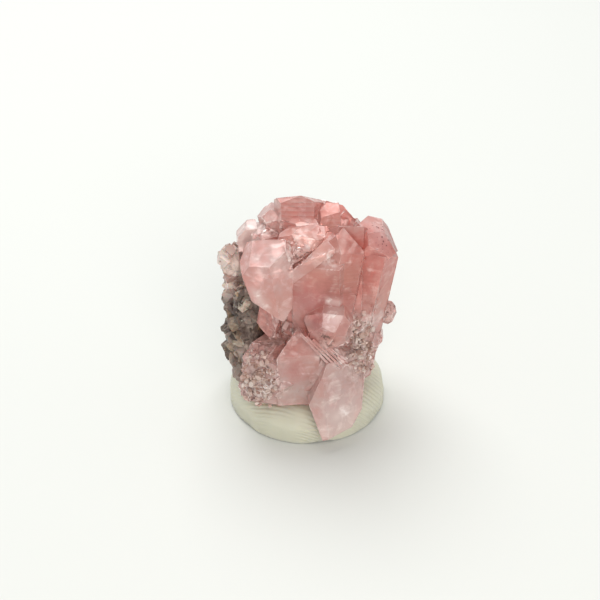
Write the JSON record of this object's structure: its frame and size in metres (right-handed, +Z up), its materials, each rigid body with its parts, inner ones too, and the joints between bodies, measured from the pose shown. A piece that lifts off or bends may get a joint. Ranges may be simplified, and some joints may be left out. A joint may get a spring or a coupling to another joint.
{
  "type": "cobaltoan calcite cluster",
  "caption": "Mineral specimen: intergrown pink calcite crystals on a rough rind of rock, standing upright in a round pad of putty that it can be lifted out of.",
  "frame": {"origin": "middle of the putty pad's flat underside, on the surface it rests on", "axes": "+Z up; -Y is the front, where the large crystal heads look; +X to the right as seen from the front"},
  "size_m": [0.0181, 0.0174, 0.0245],
  "materials": {
    "calcite": "translucent pink crystal faces, glassy to slightly frosted",
    "rock": "rough natural rock, dull",
    "putty": "soft mineral putty, satin, finely ridged"
  },
  "bodies": {
    "root": {"calcite_crystals": "calcite", "matrix": "rock", "mounting_putty": "putty"}
  },
  "joints": []
}
